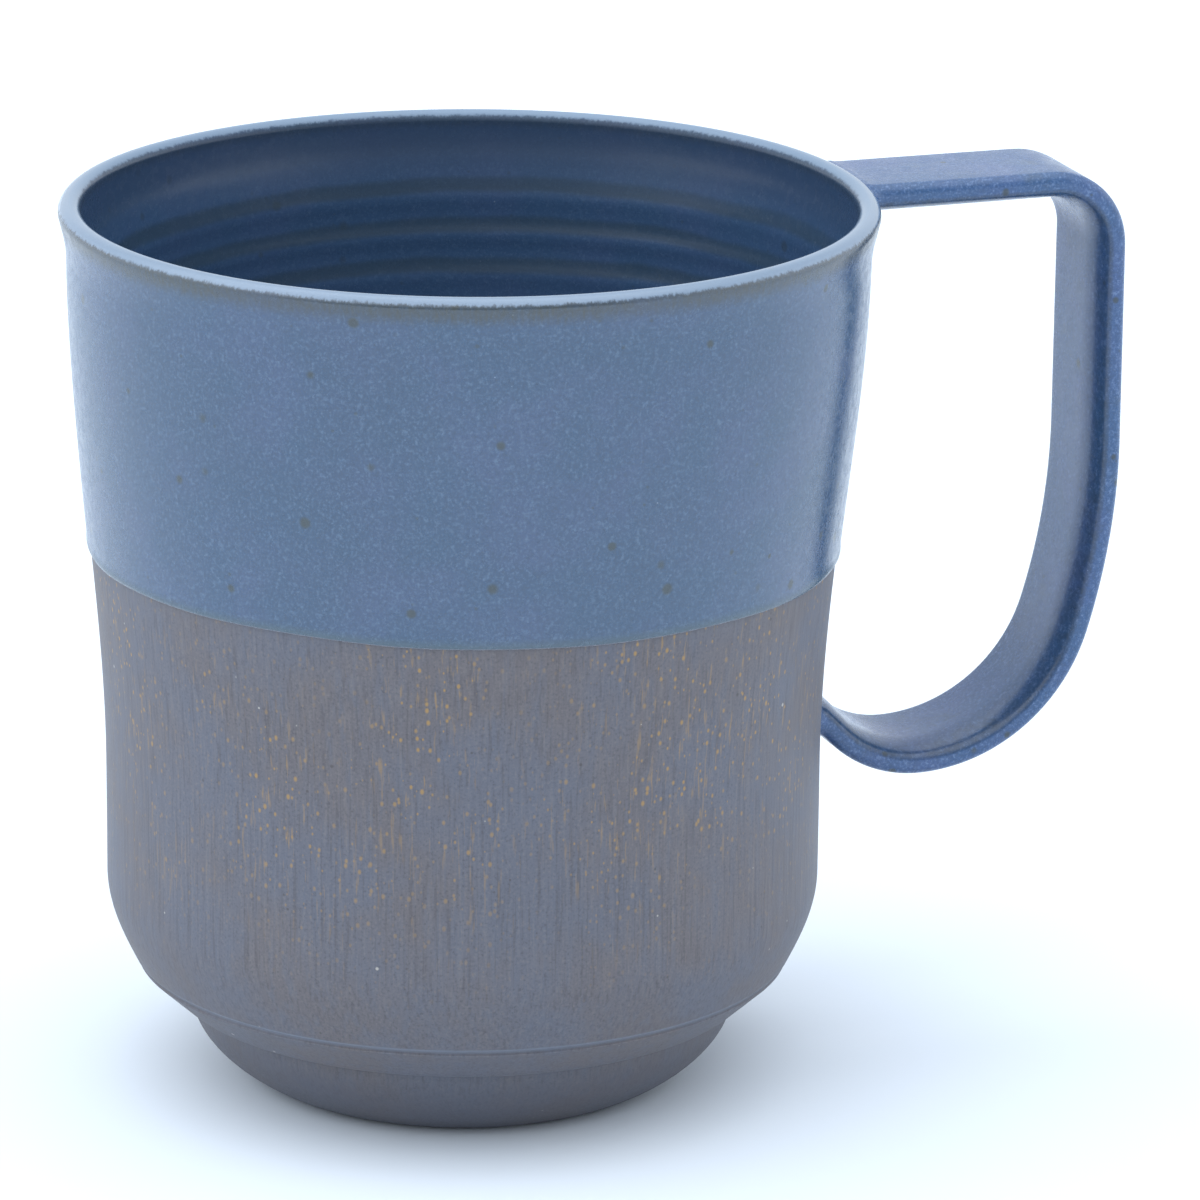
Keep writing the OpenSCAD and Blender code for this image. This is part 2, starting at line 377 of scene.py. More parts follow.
def liner_coat():
    """The inside glaze: from the floor's centre up to the crest, then down behind it to the centre again."""
    under = inner_line(24, 0.55)
    coat = shifted(under, -GLAZE_T)
    coat[0] = (under[0][0], under[0][1] + GLAZE_T)
    coat[-1] = (0, under[-1][1] + GLAZE_T)
    back = under[::BACK_STEP].tolist()
    if len(under) % BACK_STEP != 1:
        back.append(under[-1].tolist())
    line = np.concatenate([coat[::-1], back])
    crest = np.concatenate([arc_length(coat)[::-1], np.zeros(len(back))])
    top = len(coat) - 1
    return turned("glaze_liner", line, np.ones(len(line)), SEGMENTS, sharp=(top - 1, top),
                  values={"from_crest": crest})


# The dipped edge: how far it tilts and the side where it lies lowest, its rounding and the bead behind it
EDGE_TILT = 0.3
EDGE_LOW_AT = math.radians(-18.5)
EDGE_ROUND = 0.42
BEAD_SHARE = 0.3
BEAD_Z = 0.55
# Heights over which the edge is finely divided, and its wave fades out
FINE_EDGE_H = 1.6
WAVE_FADE_H = 7
# Values kept on the hidden back of the coat, far from the edge and from the crest
BACK_LINE = 5.0
BACK_CREST = 9.0


def glaze_line_rise(angle):
    """Where the dipped edge lies above or below its level."""
    ripple = 0.12 * np.sin(2 * angle + 0.4) + 0.09 * np.sin(5 * angle + 1.3) + 0.05 * np.sin(11 * angle + 2.1)
    return ripple - EDGE_TILT * np.cos(angle - EDGE_LOW_AT)


def outer_coat():
    """The outside glaze, from its wavy lower edge up to the lip's crest and back behind."""
    side = np.concatenate([side_line(GLAZE_Z, BEND_Z, 0.75), neck_line(24)[1:]])
    edge = GLAZE_Z + np.linspace(0, FINE_EDGE_H, 13)
    low = np.stack([outside_r(edge), edge], 1)
    under = np.concatenate([low, side[side[:, 1] > GLAZE_Z + FINE_EDGE_H + 0.1]])
    height = under[:, 1] - GLAZE_Z
    body = np.sqrt(np.clip(1 - (1 - np.clip(height / EDGE_ROUND, 0, 1)) ** 2, 0.0, 1))
    bead = 1 + BEAD_SHARE * np.exp(-((height - BEAD_Z) / EDGE_ROUND) ** 2)
    coat = shifted(under, -GLAZE_T * body * bead)
    coat[-1] = (under[-1][0], under[-1][1] + GLAZE_T)
    back = under[::-1][::BACK_STEP].tolist()
    if np.allclose(back[-1], under[0]):
        back = back[:-1]
    line = np.concatenate([coat, back])
    run = arc_length(coat)
    above = np.concatenate([height, np.full(len(back), BACK_LINE)])
    crest = np.concatenate([run[-1] - run, np.full(len(back), BACK_CREST)])

    def wave(points, index):
        angle = np.arctan2(points[:, 1], points[:, 0])
        share = 1 - eased(line[index, 1], GLAZE_Z, GLAZE_Z + WAVE_FADE_H)
        z = points[:, 2] + glaze_line_rise(angle) * share
        radius = np.hypot(points[:, 0], points[:, 1]) + outside_r(z) - outside_r(points[:, 2])
        return np.stack([radius * np.cos(angle), radius * np.sin(angle), z], 1)

    top = len(coat) - 1
    return turned("glaze_outer", line, np.zeros(len(line)), SEGMENTS, closed=True, sharp=(top, top + 1),
                  values={"from_crest": crest, "above_line": above}, reshape=wave)


# ---------------------------------------------------------------- handle

# Lengths of path between two rings of the strap: at its start, along its top and at its lower end
START_STEP = 0.16
TOP_STEP = 0.9
END_STEP = 0.14
# How far from the neck the rings stay close together, and the steps of a short and a long bend
START_SPAN = 3.2
BEND_STEPS = 20
LONG_BEND_STEPS = 34
# The angle where the softer corner of the strap's section starts
SOFT_CORNER = 180
# How fast the fillet's cut sets in as a face turns upward
UPWARD_GAIN = 1.6


def bend(cx, cz, r, start, end, steps):
    """An arc of the strap's path, as rows of x, z and angle."""
    a = np.linspace(start, end, steps + 1)
    return np.stack([cx + r * np.cos(a), cz + r * np.sin(a), a], 1)


def strap_top(end_x):
    """The level stretch from the neck to the upper bend, with more rings where the fillet lies."""
    x = np.concatenate([np.arange(NECK_R + START_OUT, NECK_R + START_SPAN, START_STEP),
                        np.arange(NECK_R + START_SPAN + 0.1, end_x, TOP_STEP)])
    return np.stack([x, np.full(len(x), TOP_Z), np.full(len(x), np.pi / 2)], 1)


def strap_end(x, z, a):
    """The straight stretch that climbs from the last bend into the wall."""
    run = (x - WALL_R + END_DEPTH) / math.cos(END_ANGLE)
    along = np.arange(END_STEP, run, END_STEP)
    return np.stack([x - along * math.cos(END_ANGLE), z + along * math.sin(END_ANGLE),
                     np.full(len(along), a)], 1)


def handle_path():
    """Centre line of the strap as rows of x, z and the angle that its outer face looks at."""
    corner = (SIDE_X - UPPER_BEND, TOP_Z - UPPER_BEND)
    side_z = LOW_Z + SIDE_BEND * math.sin(LEAN) + LOWER_BEND * (1 - math.sin(LEAN))
    low_x = SIDE_X - SIDE_BEND * (1 - math.cos(LEAN)) - LOWER_BEND * math.cos(LEAN)
    end_r = (low_x - WALL_R) * END_SHARE
    parts = [strap_top(corner[0]), bend(*corner, UPPER_BEND, np.pi / 2, 0, BEND_STEPS),
             bend(SIDE_X - SIDE_BEND, side_z, SIDE_BEND, 0, -LEAN, LONG_BEND_STEPS)[1:],
             bend(low_x, LOW_Z + LOWER_BEND, LOWER_BEND, -LEAN, -np.pi / 2, LONG_BEND_STEPS)[1:],
             bend(low_x, LOW_Z + end_r, end_r, -np.pi / 2, -np.pi / 2 - END_ANGLE, BEND_STEPS)[1:]]
    return np.concatenate(parts + [strap_end(*parts[-1][-1])])


def strap_section(grow, steps=10, flat=7):
    """Strap section, thickness first, and the outward direction at each point. One inner edge is softer."""
    corners = []
    for sx, sy, start in ((1, 1, 0), (-1, 1, 90), (-1, -1, SOFT_CORNER), (1, -1, 270)):
        deep, wide = SOFT_EDGE if start == SOFT_CORNER else (HANDLE_EDGE, HANDLE_EDGE)
        a = np.radians(start + 90 * np.arange(steps + 1) / steps)
        point = np.stack([sx * (HANDLE_T / 2 - deep) + deep * np.cos(a),
                          sy * (HANDLE_W / 2 - wide) + wide * np.sin(a)], 1)
        normal = np.stack([np.cos(a) / deep, np.sin(a) / wide], 1)
        normal /= np.linalg.norm(normal, axis=1)[:, None]
        corners.append((point + normal * grow, normal))
    points, normals = [], []
    for (point, normal), (after, _) in zip(corners, corners[1:] + corners[:1]):
        share = (np.arange(1, flat) / flat)[:, None]
        points += [point, point[-1] + (after[0] - point[-1]) * share]
        normals += [normal, np.repeat(normal[-1:], flat - 1, 0)]
    return np.concatenate(points), np.concatenate(normals)


def fillet_height(ring, normal, z, a):
    """How far the fillet lifts each point of a ring: most beside the wall, little on faces that look up."""
    level = np.minimum(ring[:, 2], LIP_Z)
    flare = NECK_IN * np.clip((level - NECK_Z) / (LIP_Z - NECK_Z), 0, 1)
    clear = np.hypot(ring[:, 0] - rim_pull(level), ring[:, 1]) - outside_r(level) - flare
    clear -= GLAZE_T * (level > GLAZE_Z)
    gap = np.clip(clear / FILLET_R, 0, 1)
    height = FILLET_R * (1 - np.sqrt(1 - (1 - gap) ** 2 * 0.998))
    upward = np.clip(normal[:, 0] * math.sin(a) * UPWARD_GAIN, 0, 1)
    return height * (1 - (UPPER_FILLET_CUT if z > GLAZE_Z else LOWER_FILLET_CUT) * upward)


def placed(section, x, z, a, sway):
    """A section's points, thickness first, set on the path with the outer face looking at the angle."""
    out, across = section.T
    return np.stack([x + out * math.cos(a), across + sway, z + out * math.sin(a)], 1)


def strap_points(path, grow, fillet):
    """Rings of the strap along its path. A negative grow shrinks it to the clay, and a fillet is optional."""
    section, normal = strap_section(grow)
    run = np.concatenate([[0], np.cumsum(np.hypot(*np.diff(path[:, :2], axis=0).T))])
    rings = []
    for (x, z, a), s in zip(path, run):
        wide = 1 + 0.012 * math.sin(s / 17 + 0.5) + 0.008 * math.sin(s / 7.1)
        thick = 0.98 + 0.02 * math.sin(s / 13 + 2)
        sway = 0.12 * math.sin(s / 31 + 0.4)
        cut = section * (thick, wide)
        ring = placed(cut, x, z, a, sway)
        if fillet:
            ring = placed(cut + normal * fillet_height(ring, normal, z, a)[:, None], x, z, a, sway)
        rings.append(ring)
    return np.array(rings)


def tube_faces(rows, n, offset=0, flip=False):
    """The faces between rings of n vertices that follow one another from offset on."""
    faces = []
    for i in range(rows - 1):
        for j in range(n):
            k = (j + 1) % n
            f = (offset + i * n + j, offset + i * n + k, offset + (i + 1) * n + k, offset + (i + 1) * n + j)
            faces.append(f[::-1] if flip else f)
    return faces


def end_faces(first, second, n, flip=False):
    """A band of faces between two loops of n vertices that start at first and second."""
    faces = []
    for j in range(n):
        k = (j + 1) % n
        f = (first + j, second + j, second + k, first + k)
        faces.append(f[::-1] if flip else f)
    return faces


def shell(name, outer, inner, values=None):
    """A closed coat between two sets of rings with the same counts."""
    rows, n = outer.shape[:2]
    verts = np.concatenate([outer.reshape(-1, 3), inner.reshape(-1, 3)])
    back = rows * n
    faces = tube_faces(rows, n) + tube_faces(rows, n, back, True)
    faces += end_faces(0, back, n, True) + end_faces(back - n, 2 * back - n, n)
    sharp = []
    for start in (0, back, back - n, 2 * back - n):
        sharp += [(start + j, start + (j + 1) % n) for j in range(n)]
    return make_object(name, verts, faces, sharp, values)


# How far the painted shade on the strap's edge corners shows on its inside, which faces the mug, and on its
# outside
INNER_EDGE_SHADE = 0.7
OUTER_EDGE_SHADE = 0.05
# Slip thinner than this is left out
SLIP_MIN = 0.02


def handle_coat():
    path = handle_path()
    _, normal = strap_section(0)
    # painted shade on the strap's corners: strong on the inside of the loop, faint outside
    edge = np.maximum(0, 1 - np.abs(np.abs(normal[:, 0]) - np.abs(normal[:, 1]))) ** 0.5
    edge *= np.where(normal[:, 0] < 0, INNER_EDGE_SHADE, OUTER_EDGE_SHADE)
    return shell("glaze_handle", strap_points(path, 0, True), strap_points(path, -GLAZE_T, True),
                 {"edge": np.tile(edge, 2 * len(path))})


def handle_clay():
    path = handle_path()
    rings = strap_points(path, -GLAZE_T, False)
    rows, n = rings.shape[:2]
    verts = np.concatenate([rings.reshape(-1, 3), [rings[0].mean(0)], [rings[-1].mean(0)]])
    faces = tube_faces(rows, n)
    for j in range(n):
        k = (j + 1) % n
        faces.append((rows * n, k, j))
        faces.append((rows * n + 1, (rows - 1) * n + j, (rows - 1) * n + k))
    return make_object("handle_clay", verts, faces)


def joint_slip(name, upper):
    """The slip smoothed round one end of the strap, between the strap's clay and its glaze."""
    path = handle_path()
    outer = strap_points(path, -GLAZE_T, True)
    inner = strap_points(path, -GLAZE_T, False)
    thick = np.linalg.norm(outer - inner, axis=2).max(1)
    half = len(path) // 2
    near = [i for i in range(len(path)) if thick[i] > SLIP_MIN and (i < half) == upper]
    return shell(name, outer[near], inner[near])


# ---------------------------------------------------------------- materials

class Graph:
    """Short names for the shader nodes used here. Coordinates are object coordinates in millimetres."""

    def __init__(self, name):
        self.material = bpy.data.materials.new(name)
        self.material.use_nodes = True
        self.tree = self.material.node_tree
        self.tree.nodes.clear()
        coordinates = self.tree.nodes.new("ShaderNodeTexCoord").outputs["Object"]
        self.mm = self.vector("SCALE", coordinates, scale=1 / MM)

    def node(self, kind, inputs=None, **settings):
        node = self.tree.nodes.new(kind)
        for key, value in settings.items():
            setattr(node, key, value)
        for key, value in (inputs or {}).items():
            if value is None:
                continue
            if isinstance(value, bpy.types.NodeSocket):
                self.tree.links.new(value, node.inputs[key])
            else:
                node.inputs[key].default_value = value
        return node

    def vector(self, operation, a, b=None, scale=None):
        n = self.node("ShaderNodeVectorMath", {0: a, 1: b}, operation=operation)
        if scale is not None:
            n.inputs["Scale"].default_value = scale
        return n.outputs[0]

    def stretched(self, factors):
        return self.vector("MULTIPLY", self.mm, factors)

    def math(self, operation, a, b=None, c=None):
        return self.node("ShaderNodeMath", {0: a, 1: b, 2: c}, operation=operation).outputs[0]

    def noise(self, scale, detail=2.0, roughness=0.5, vector=None):
        return self.node("ShaderNodeTexNoise", {"Vector": vector or self.mm, "Scale": scale, "Detail": detail,
                                                "Roughness": roughness}).outputs["Fac"]

    def between(self, value, low, high, to_low=0.0, to_high=1.0):
        """A smooth step from to_low at low to to_high at high."""
        inputs = {"Value": value, "From Min": low, "From Max": high, "To Min": to_low, "To Max": to_high}
        return self.node("ShaderNodeMapRange", inputs, interpolation_type="SMOOTHSTEP").outputs[0]

    def mix(self, share, a, b, blend="MIX"):
        n = self.node("ShaderNodeMix", {0: share}, data_type="RGBA", blend_type=blend)
        for socket, value in ((n.inputs[6], a), (n.inputs[7], b)):
            if isinstance(value, bpy.types.NodeSocket):
                self.tree.links.new(value, socket)
            else:
                socket.default_value = (*value, 1.0)
        return n.outputs[2]

    def tint(self, base, mask, share, colour):
        """The base with up to a share of a colour over it, where the mask is."""
        return self.mix(self.math("MULTIPLY", mask, share), base, colour)

    def attribute(self, name):
        return self.node("ShaderNodeAttribute", attribute_name=name).outputs["Fac"]

    def specks(self, scale, radius, rarity, softness=0.4, vector=None):
        """Round spots: one in each Voronoi cell whose own random number passes the rarity."""
        v = self.node("ShaderNodeTexVoronoi", {"Vector": vector or self.mm, "Scale": scale,
                                               "Randomness": 1.0})
        chance = self.node("ShaderNodeSeparateColor", {0: v.outputs["Color"]})
        size = self.math("MULTIPLY_ADD", chance.outputs[1], radius * 0.7, radius * 0.3)
        near = self.math("DIVIDE", v.outputs["Distance"], size)
        spot = self.between(near, 1 - softness, 1.0, 1.0, 0.0)
        keep = self.math("GREATER_THAN", chance.outputs[0], rarity)
        return self.math("MULTIPLY", spot, keep)

    def position(self):
        return self.node("ShaderNodeSeparateXYZ", {0: self.mm}).outputs

    def bump(self, height, distance, strength=1.0, normal=None):
        return self.node("ShaderNodeBump", {"Height": height, "Distance": distance * MM, "Strength": strength,
                                            "Normal": normal}).outputs[0]

    def finish(self, colour, roughness, normal, **fixed):
        shader = self.node("ShaderNodeBsdfPrincipled", {"Base Color": colour, "Roughness": roughness,
                                                        "Normal": normal})
        for key, value in fixed.items():
            shader.inputs[key.replace("_", " ")].default_value = value
        out = self.node("ShaderNodeOutputMaterial")
        self.tree.links.new(shader.outputs[0], out.inputs[0])
        return self.material


BLUE = (0.017, 0.062, 0.134)
BLUE_DEEP = (0.02, 0.054, 0.112)
BLUE_PALE = (0.093, 0.162, 0.262)
BLUE_VIOLET = (0.031, 0.068, 0.152)
CRYSTAL = (0.45, 0.55, 0.68)
SPECK_GREEN = (0.022, 0.034, 0.03)
BREAK_OLIVE = (0.036, 0.042, 0.034)
# the lip's pale: thin glaze, with painted reflection in it
LIP_PALE_AND_SHEEN = (0.22, 0.3, 0.4)
POOL_GREEN = (0.05, 0.085, 0.09)
MARGIN_PALE = (0.24, 0.25, 0.29)
LINER_BLUE = (0.05, 0.088, 0.17)
LINER_SHADE = (0.022, 0.042, 0.085)
LINER_HOLLOW = (0.026, 0.046, 0.062)
HANDLE_GAIN = (1.5, 1.36, 1.52)
HANDLE_CLOUD = (0.05, 0.075, 0.1)
# the colour of the painted shade along the strap's corners
HANDLE_EDGE_SHADE = (0.02, 0.034, 0.05)

# How strongly each surface reflects. The outside is well above glass, to match the photo's bright limbs.
OUTER_IOR = 1.78
HANDLE_IOR = 1.58
LINER_IOR = 1.42
CLAY_IOR = 1.62


def glaze_colour(g, lively=1.0):
    """Satin blue with fine mottle, wider clouds, iron specks and tiny pale crystals."""
    cloud = g.noise(0.11, 3.0, 0.55)
    drift = g.noise(0.05, 2.0, 0.5, g.stretched((1.0, 1.0, 0.6)))
    fine = g.noise(2.6, 2.0, 0.65)
    grain = g.noise(4.6, 1.0, 0.5)
    base = g.mix(g.between(cloud, 0.35, 0.7), BLUE, BLUE_VIOLET)
    base = g.tint(base, g.between(drift, 0.45, 0.75), 0.35, BLUE_DEEP)
    base = g.tint(base, g.between(fine, 0.5, 0.74), 0.65 * lively, BLUE_PALE)
    base = g.tint(base, g.between(fine, 0.48, 0.28), 0.8 * lively, BLUE_DEEP)
    base = g.tint(base, g.between(grain, 0.54, 0.76), 0.45, BLUE_PALE)
    base = g.tint(base, g.between(grain, 0.46, 0.24), 0.5, BLUE_DEEP)
    base = g.tint(base, g.specks(0.22, 0.2, 0.4, 0.55), 0.8, SPECK_GREEN)
    base = g.tint(base, g.specks(0.5, 0.17, 0.6, 0.6), 0.5, SPECK_GREEN)
    return g.tint(base, g.specks(0.55, 0.075, 0.8, 0.7), 0.55, CRYSTAL)


def glaze_finish(g, colour, ior, lip=0.0):
    """A satin gloss with a faint ripple and pores, glossier where the lip's mask is."""
    ripple = g.noise(0.35, 2.0, 0.5)
    pores = g.noise(3.5, 2.0, 0.6)
    normal = g.bump(ripple, 0.035, 0.4)
    normal = g.bump(pores, 0.004, 0.4, normal)
    rough = g.between(g.noise(0.9, 3.0, 0.6), 0.3, 0.7, 0.2, 0.3)
    rough = g.math("MULTIPLY_ADD", lip, -0.1, rough)
    return g.finish(colour, rough, normal, IOR=ior)


def ragged_crest(g, bristle, share):
    """Distance from the lip's crest, made uneven by a noise."""
    return g.math("MULTIPLY_ADD", g.math("SUBTRACT", bristle, 0.5), share, g.attribute("from_crest"))


def outer_lip(g, base):
    """Over the lip the glaze runs thin and pale, with painted reflection in the pale, then breaks olive on
    the outer turn.
    """
    bristle = g.noise(2.4, 3.0, 0.7, g.stretched((1.0, 1.0, 0.25)))
    ragged = ragged_crest(g, bristle, 1.1)
    lip = g.between(ragged, 1.15, 1.55, 1.0, 0.0)
    band = g.math("MULTIPLY", g.between(ragged, 1.1, 1.5), g.between(ragged, 2.2, 4.2, 1.0, 0.0))
    patch = g.between(g.noise(0.09, 2.0, 0.5), 0.3, 0.6, 0.75, 1.0)
    band = g.math("MULTIPLY", g.math("MULTIPLY", band, patch), g.between(bristle, 0.3, 0.62, 1.0, 0.7))
    base = g.tint(base, band, 0.9, BREAK_OLIVE)
    # thin pale glaze over the lip, partly painted reflection
    return g.tint(base, lip, 0.75, LIP_PALE_AND_SHEEN), lip


def outer_glaze_material():
    g = Graph("blue_glaze")
    line = g.attribute("above_line")
    base, lip = outer_lip(g, glaze_colour(g))
    # a greener pool along the dipped edge and a pale thin margin
    base = g.tint(base, g.between(line, 0.25, 1.5, 1.0, 0.0), 0.55, POOL_GREEN)
    base = g.tint(base, g.between(line, 0.14, 0.3, 1.0, 0.0), 0.9, MARGIN_PALE)
    return glaze_finish(g, base, OUTER_IOR, lip)


def ring_hollows(g):
    """A mask of bands that roughly follow the throwing rings."""
    x, y, z = g.position()
    turn = g.math("MULTIPLY_ADD", z, 2 * math.pi / RING_PITCH, g.math("ARCTAN2", y, x))
    wave = g.math("SINE", g.math("MULTIPLY_ADD", g.noise(0.06, 2.0, 0.5), 2.2, turn))
    return g.between(wave, -0.1, 0.9)


def liner_glaze_material():
    g = Graph("liner_glaze")
    base = glaze_colour(g, 0.7)
    crest = g.attribute("from_crest")
    hollow = ring_hollows(g)
    base = g.mix(g.between(crest, 1.0, 2.4, 0.0, 0.5), base, LINER_BLUE)
    under_lip = g.math("MULTIPLY", g.between(crest, 1.0, 2.2), g.between(crest, 4.0, 9.0, 1.0, 0.0))
    base = g.tint(base, under_lip, 0.6, LINER_SHADE)
    base = g.tint(base, hollow, g.between(crest, 4.0, 10.0, 0.0, 0.6), LINER_HOLLOW)
    ragged = ragged_crest(g, g.noise(2.0, 3.0, 0.7, g.stretched((1.0, 1.0, 0.3))), 0.9)
    lip = g.between(ragged, 0.9, 1.35, 1.0, 0.0)
    band = g.math("MULTIPLY", g.between(ragged, 0.9, 1.3), g.between(ragged, 1.7, 2.8, 1.0, 0.0))
    base = g.tint(base, band, 0.3, BREAK_OLIVE)
    # the lip's pale: thin glaze, with painted reflection in it
    base = g.tint(base, lip, 0.8, LIP_PALE_AND_SHEEN)
    return glaze_finish(g, base, LINER_IOR, lip)


def handle_glaze_material():
    g = Graph("handle_glaze")
    base = g.mix(1.0, glaze_colour(g, 1.1), HANDLE_GAIN, "MULTIPLY")
    cloud = g.noise(0.25, 3.0, 0.6)
    base = g.mix(g.between(cloud, 0.55, 0.75, 0.0, 0.3), base, HANDLE_CLOUD)
    # painted shade along the strap's corners, made patchy by a noise
    patchy_shade = g.between(g.noise(0.8, 2.0, 0.6), 0.35, 0.65, 0.6, 0.95)
    base = g.tint(base, g.attribute("edge"), patchy_shade, HANDLE_EDGE_SHADE)
    return glaze_finish(g, base, HANDLE_IOR)


CLAY = (0.102, 0.109, 0.142)
CLAY_BROWN = (0.114, 0.103, 0.113)
CLAY_SLATE = (0.094, 0.112, 0.157)
CLAY_PALE = (0.2, 0.185, 0.185)
COMB_DARK = (0.055, 0.05, 0.058)
WEAVE_DARK = (0.045, 0.045, 0.058)
OCHRE = (0.33, 0.2, 0.065)
PALE_GRAIN = (0.5, 0.47, 0.42)
DARK_GRAIN = (0.04, 0.035, 0.035)
FOOT_SHADE = (0.05, 0.055, 0.076)
FINE_LINE = (0.2, 0.225, 0.28)


def clay_colour(g, weave):
    """Dark clay with broad clouds, upright streaks and comb marks, and a fine weave of light and dark."""
    base = g.mix(g.between(g.noise(0.07, 3.0, 0.55), 0.35, 0.65), CLAY, CLAY_BROWN)
    streak = g.noise(1.1, 3.0, 0.6, g.stretched((1.0, 1.0, 0.1)))
    base = g.tint(base, g.between(streak, 0.45, 0.7), 0.45, CLAY_SLATE)
    comb = g.noise(2.8, 2.0, 0.6, g.stretched((1.0, 1.0, 0.04)))
    base = g.tint(base, g.between(comb, 0.5, 0.3), 0.42, COMB_DARK)
    base = g.tint(base, g.between(comb, 0.52, 0.75), 0.22, CLAY_PALE)
    base = g.tint(base, g.between(weave, 0.5, 0.78), 0.4, CLAY_PALE)
    return g.tint(base, g.between(weave, 0.5, 0.24), 0.6, WEAVE_DARK)


def flecked(g, base, z):
    """Ochre flecks and short upright runs, thickest higher up, then single pale and dark grains."""
    cluster = g.between(g.noise(0.07, 2.0, 0.5, g.stretched((1.0, 1.0, 0.6))), 0.36, 0.58, 0.25, 1.0)
    upper = g.math("MULTIPLY", g.between(z, 14, 46), cluster)
    run = g.between(g.noise(2.2, 2.0, 0.6, g.stretched((1.0, 1.0, 0.1))), 0.58, 0.74)
    base = g.tint(base, g.math("MULTIPLY", run, upper), 0.6, OCHRE)
    fleck = g.specks(1.35, 0.42, 0.25, 0.65, g.stretched((1.0, 1.0, 0.7)))
    base = g.tint(base, g.math("MULTIPLY", fleck, upper), 0.9, OCHRE)
    base = g.tint(base, g.specks(0.3, 0.09, 0.5, 0.6), 0.75, PALE_GRAIN)
    return g.tint(base, g.specks(0.45, 0.13, 0.5, 0.7), 0.6, DARK_GRAIN)


def foot_tones(g, base, z):
    """The trimmed foot and its underside are darker, the fine line above it is paler."""
    base = g.tint(base, g.between(z, 6.5, 10.2, 1.0, 0.0), 0.45, FOOT_SHADE)
    line = g.math("MULTIPLY", g.between(z, 13.7, 13.95), g.between(z, 14.3, 14.6, 1.0, 0.0))
    return g.tint(base, line, 0.7, FINE_LINE)


def clay_material(name):
    g = Graph(name)
    z = g.position()[2]
    weave = g.noise(3.4, 2.0, 0.6)
    base = foot_tones(g, flecked(g, clay_colour(g, weave), z), z)
    lines = g.noise(2.2, 2.0, 0.6, g.stretched((0.06, 0.06, 1.0)))
    normal = g.bump(lines, 0.012, 0.6, g.bump(weave, 0.03, 0.7))
    return g.finish(base, g.between(weave, 0.3, 0.7, 0.5, 0.66), normal, IOR=CLAY_IOR)


def slip_material():
    g = Graph("fired_slip")
    base = g.mix(g.between(g.noise(0.3, 3.0, 0.6), 0.3, 0.7), CLAY, CLAY_BROWN)
    rough = g.between(g.noise(2.0, 2.0, 0.6), 0.3, 0.7, 0.5, 0.7)
    return g.finish(base, rough, g.bump(g.noise(3.0), 0.02, 0.6))


# ---------------------------------------------------------------- assembly

def place(obj, material, slot, *nodes):
    obj.data.materials.append(material)
    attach(obj, "root")
    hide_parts(*nodes)


slip = slip_material()
place(clay_pot(), clay_material("bare_stoneware"), "bare_stoneware", "clay_body")
place(handle_clay(), clay_material("handle_stoneware"), "handle_stoneware", "handle_strap")
place(joint_slip("slip_upper", True), slip, "fired_slip", "upper_joint_slip")
place(joint_slip("slip_lower", False), slip, "fired_slip", "lower_joint_slip")
place(liner_coat(), liner_glaze_material(), "liner_glaze", "liner_glaze")
place(outer_coat(), outer_glaze_material(), "blue_glaze", "outer_glaze")
place(handle_coat(), handle_glaze_material(), "handle_glaze", "handle_glaze")


# ---------------------------------------------------------------- stage

FLOOR_RADIUS = 5000.0
FLOOR_WHITE = (0.795, 0.85, 0.91, 1.0)


def floor():
    """A round sheet of white paper, with its rings closer together near the mug."""
    rings, segments = 24, 96
    r = FLOOR_RADIUS * (np.arange(1, rings + 1) / rings) ** 2
    a = np.arange(segments) * 2 * np.pi / segments
    verts = [(0, 0, 0)] + [(x * math.cos(t), x * math.sin(t), 0) for x in r for t in a]
    faces = [(0, 1 + j, 1 + (j + 1) % segments) for j in range(segments)]
    for i in range(rings - 1):
        near, far = 1 + i * segments, 1 + (i + 1) * segments
        for j in range(segments):
            k = (j + 1) % segments
            faces.append((near + j, far + j, far + k, near + k))
    obj = make_object("floor", verts, faces)
    g = Graph("floor_paper")
    obj.data.materials.append(g.finish(FLOOR_WHITE, 0.8, None, Specular_IOR_Level=0.2))


CAMERA_AZIMUTH = math.radians(18.5)
CAMERA_DISTANCE = 800.0
CAMERA_HEIGHT = 293.06
CAMERA_PITCH = 0.2901
CAMERA_YAW = 0.0189
CAMERA_ROLL = 0.0099
CAMERA_LENS = 225.5
CAMERA_SENSOR = 36
# in metres
CAMERA_CLIP = (0.05, 50)


def camera():
    data = bpy.data.cameras.new("camera")
    data.sensor_width = CAMERA_SENSOR
    data.lens = CAMERA_LENS
    data.clip_start, data.clip_end = CAMERA_CLIP
    obj = bpy.data.objects.new("camera", data)
    bpy.context.scene.collection.objects.link(obj)
    level = math.cos(CAMERA_PITCH)
    forward = np.array([math.sin(CAMERA_YAW) * level, math.cos(CAMERA_YAW) * level, -math.sin(CAMERA_PITCH)])
    right = np.array([math.cos(CAMERA_YAW), -math.sin(CAMERA_YAW), 0])
    up = np.cross(right, forward)
    c, s = math.cos(CAMERA_ROLL), math.sin(CAMERA_ROLL)
    right, up = c * right + s * up, c * up - s * right
    turn = Matrix.Rotation(-CAMERA_AZIMUTH, 4, "Z")
    pose = Matrix([[right[i], up[i], -forward[i], 0] for i in range(3)] + [[0, 0, 0, 1]])
    pose.translation = (0, -CAMERA_DISTANCE * MM, CAMERA_HEIGHT * MM)
    obj.matrix_world = turn @ pose
    bpy.context.scene.camera = obj


# Directions from the mug: to the photographer, to the photo's right, and to the softbox overhead
FRONT = (math.sin(-CAMERA_AZIMUTH), -math.cos(CAMERA_AZIMUTH), 0.0)
SIDE = (math.cos(CAMERA_AZIMUTH), math.sin(-CAMERA_AZIMUTH), 0.0)
SOFTBOX = tuple(np.array((0.0, 0.0, 0.94)) - 0.2 * np.array(SIDE) + 0.24 * np.array(FRONT))
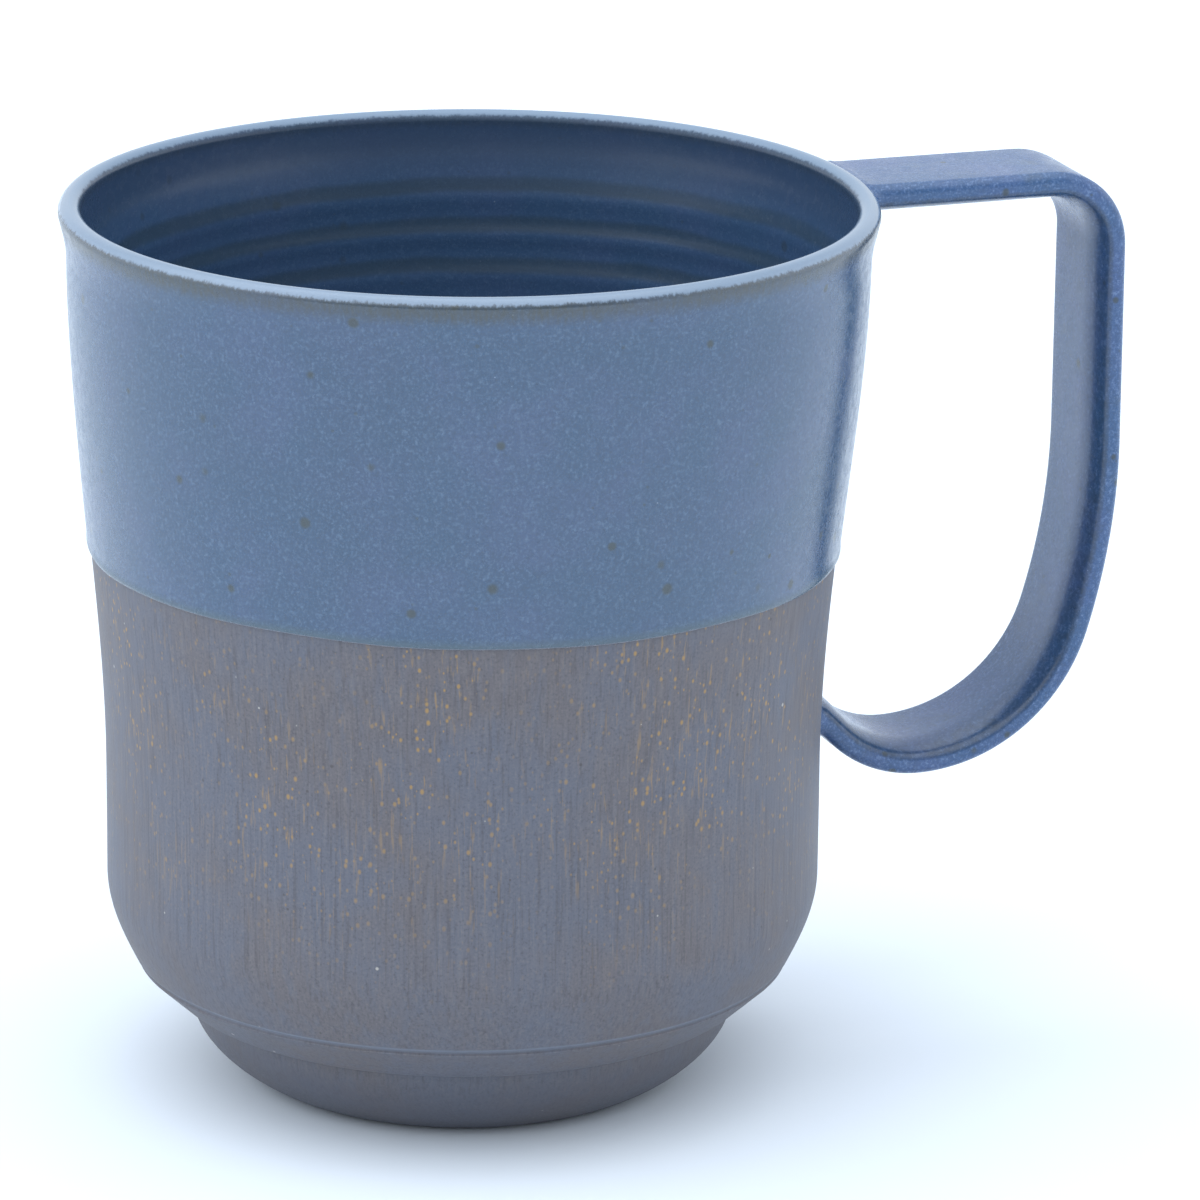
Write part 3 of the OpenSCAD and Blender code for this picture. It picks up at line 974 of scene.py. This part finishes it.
# Strengths: behind the mug, on the photographer's side, and what the sides and the softbox add
BACK_LIGHT = 1.05
FRONT_LIGHT = 0.5
SIDE_LIGHT = 0.7
SOFTBOX_LIGHT = 1.45
LIGHT_TINT = (0.9, 0.96, 1.03, 1)


def world():
    """White surroundings: a wide soft light overhead, bright sides, dimmer on the photographer's side."""
    w = bpy.data.worlds.new("studio")
    bpy.context.scene.world = w
    w.use_nodes = True
    tree = w.node_tree
    tree.nodes.clear()
    direction = tree.nodes.new("ShaderNodeTexCoord").outputs["Generated"]

    def towards(axis):
        n = tree.nodes.new("ShaderNodeVectorMath")
        n.operation = "DOT_PRODUCT"
        tree.links.new(direction, n.inputs[0])
        n.inputs[1].default_value = axis
        return n.outputs["Value"]

    def ramp(value, low, high, to_low, to_high):
        n = tree.nodes.new("ShaderNodeMapRange")
        n.interpolation_type = "SMOOTHSTEP"
        tree.links.new(value, n.inputs["Value"])
        for key, number in (("From Min", low), ("From Max", high), ("To Min", to_low), ("To Max", to_high)):
            n.inputs[key].default_value = number
        return n.outputs[0]

    def maths(operation, a, b):
        n = tree.nodes.new("ShaderNodeMath")
        n.operation = operation
        tree.links.new(a, n.inputs[0])
        tree.links.new(b, n.inputs[1])
        return n.outputs[0]

    side = towards(SIDE)
    around = ramp(towards(FRONT), -0.6, 0.9, BACK_LIGHT, FRONT_LIGHT)
    sides = ramp(maths("MULTIPLY", side, side), 0.2, 0.9, 0.0, SIDE_LIGHT)
    overhead = ramp(towards(SOFTBOX), 0.4, 0.9, 0.0, SOFTBOX_LIGHT)
    back = tree.nodes.new("ShaderNodeBackground")
    back.inputs["Color"].default_value = LIGHT_TINT
    tree.links.new(maths("ADD", maths("ADD", around, sides), overhead), back.inputs["Strength"])
    out = tree.nodes.new("ShaderNodeOutputWorld")
    tree.links.new(back.outputs[0], out.inputs[0])


floor()
camera()
world()
scene = bpy.context.scene
scene.view_settings.view_transform = "Standard"
scene.view_settings.look = "None"
scene.view_settings.exposure = 0.0
